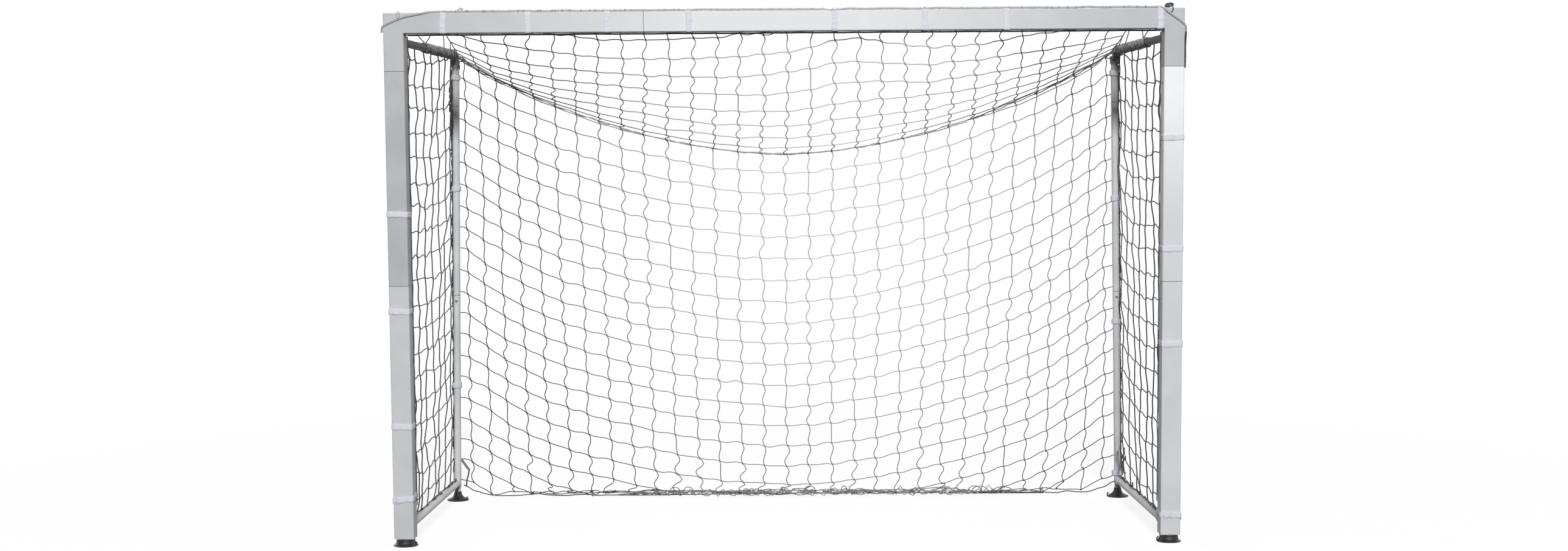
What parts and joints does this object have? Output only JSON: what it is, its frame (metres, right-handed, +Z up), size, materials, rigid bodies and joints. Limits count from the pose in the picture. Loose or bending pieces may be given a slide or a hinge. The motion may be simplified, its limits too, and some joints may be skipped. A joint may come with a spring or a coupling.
{
  "type": "futsal goal",
  "caption": "Portable futsal goal: sectional square-tube front frame, round-tube rear frame, suction feet and a net held on by hook-and-loop straps.",
  "frame": {"origin": "on the floor, at the middle of the goal's bounding box", "axes": "+X to the right of someone who looks into the mouth, +Y from the mouth to the back net, +Z up"},
  "size_m": [3.1788, 1.2764, 2.1318],
  "materials": {
    "painted_post": "semi-gloss powder coat",
    "painted_tube": "satin powder coat",
    "steel_button": "plated",
    "black_rubber": "moulded, satin",
    "plug_plastic": "moulded",
    "strap_fabric": "woven hook-and-loop tape",
    "net_twine": "braided twine"
  },
  "bodies": {
    "goal": {"bottom_side_bar_left": "painted_tube", "bottom_side_bar_right": "painted_tube", "corner_left": "painted_post", "corner_right": "painted_post", "crossbar_middle": "painted_post", "foot_front_left": "black_rubber", "foot_front_right": "black_rubber", "foot_rear_left": "black_rubber", "foot_rear_right": "black_rubber", "net_back": "net_twine", "net_left": "net_twine", "net_right": "net_twine", "net_top": "net_twine", "post_plug_left": "plug_plastic", "post_plug_right": "plug_plastic", "rear_upright_lower_left": "painted_tube", "rear_upright_lower_right": "painted_tube", "rear_upright_upper_left": "painted_tube", "rear_upright_upper_right": "painted_tube", "strap_crossbar_1": "strap_fabric", "strap_crossbar_2": "strap_fabric", "strap_crossbar_3": "strap_fabric", "strap_crossbar_4": "strap_fabric", "strap_crossbar_5": "strap_fabric", "strap_crossbar_6": "strap_fabric", "strap_crossbar_7": "strap_fabric", "strap_low_bar_left": "strap_fabric", "strap_post_left_1": "strap_fabric", "strap_post_left_2": "strap_fabric", "strap_post_left_3": "strap_fabric", "strap_post_left_4": "strap_fabric", "strap_post_right_1": "strap_fabric", "strap_post_right_2": "strap_fabric", "strap_post_right_3": "strap_fabric", "strap_post_right_4": "strap_fabric", "strap_rear_left_1": "strap_fabric", "strap_rear_left_2": "strap_fabric", "strap_rear_left_3": "strap_fabric", "strap_rear_right_1": "strap_fabric", "strap_rear_right_2": "strap_fabric", "strap_rear_right_3": "strap_fabric", "strap_rear_right_4": "strap_fabric", "strap_top_bar_left": "strap_fabric", "strap_top_bar_right": "strap_fabric", "top_side_bar_left": "painted_tube", "top_side_bar_right": "painted_tube", "upright_lower_left": "painted_post", "upright_lower_right": "painted_post", "upright_middle_left": "painted_post", "upright_middle_right": "painted_post"},
    "button_crossbar_left": {"button_crossbar_left": "steel_button"},
    "button_crossbar_right": {"button_crossbar_right": "steel_button"},
    "button_post_lower_left": {"button_post_lower_left": "steel_button"},
    "button_post_lower_right": {"button_post_lower_right": "steel_button"},
    "button_post_upper_left": {"button_post_upper_left": "steel_button"},
    "button_post_upper_right": {"button_post_upper_right": "steel_button"},
    "button_rear_lower_left": {"button_rear_lower_left": "steel_button"},
    "button_rear_lower_right": {"button_rear_lower_right": "steel_button"},
    "button_rear_upper_left": {"button_rear_upper_left": "steel_button"},
    "button_rear_upper_right": {"button_rear_upper_right": "steel_button"}
  },
  "joints": [
    {"name": "press_crossbar_left", "type": "slide", "parent": "goal", "child": "button_crossbar_left", "axis": [0, 0, 1], "range_m": [0, 0.0055], "stiffness_N_per_m": 1500, "springref_m": -0.003},
    {"name": "press_crossbar_right", "type": "slide", "parent": "goal", "child": "button_crossbar_right", "axis": [0, 0, 1], "range_m": [0, 0.0055], "stiffness_N_per_m": 1500, "springref_m": -0.003},
    {"name": "press_post_lower_left", "type": "slide", "parent": "goal", "child": "button_post_lower_left", "axis": [-1, 0, 0], "range_m": [0, 0.0055], "stiffness_N_per_m": 1500, "springref_m": -0.003},
    {"name": "press_post_lower_right", "type": "slide", "parent": "goal", "child": "button_post_lower_right", "axis": [1, 0, 0], "range_m": [0, 0.0055], "stiffness_N_per_m": 1500, "springref_m": -0.003},
    {"name": "press_post_upper_left", "type": "slide", "parent": "goal", "child": "button_post_upper_left", "axis": [-1, 0, 0], "range_m": [0, 0.0055], "stiffness_N_per_m": 1500, "springref_m": -0.003},
    {"name": "press_post_upper_right", "type": "slide", "parent": "goal", "child": "button_post_upper_right", "axis": [1, 0, 0], "range_m": [0, 0.0055], "stiffness_N_per_m": 1500, "springref_m": -0.003},
    {"name": "press_rear_lower_left", "type": "slide", "parent": "goal", "child": "button_rear_lower_left", "axis": [0, 1, 0], "range_m": [0, 0.005], "stiffness_N_per_m": 1500, "springref_m": -0.003},
    {"name": "press_rear_lower_right", "type": "slide", "parent": "goal", "child": "button_rear_lower_right", "axis": [0, 1, 0], "range_m": [0, 0.005], "stiffness_N_per_m": 1500, "springref_m": -0.003},
    {"name": "press_rear_upper_left", "type": "slide", "parent": "goal", "child": "button_rear_upper_left", "axis": [0, 1, 0], "range_m": [0, 0.005], "stiffness_N_per_m": 1500, "springref_m": -0.003},
    {"name": "press_rear_upper_right", "type": "slide", "parent": "goal", "child": "button_rear_upper_right", "axis": [0, 1, 0], "range_m": [0, 0.005], "stiffness_N_per_m": 1500, "springref_m": -0.003}
  ]
}
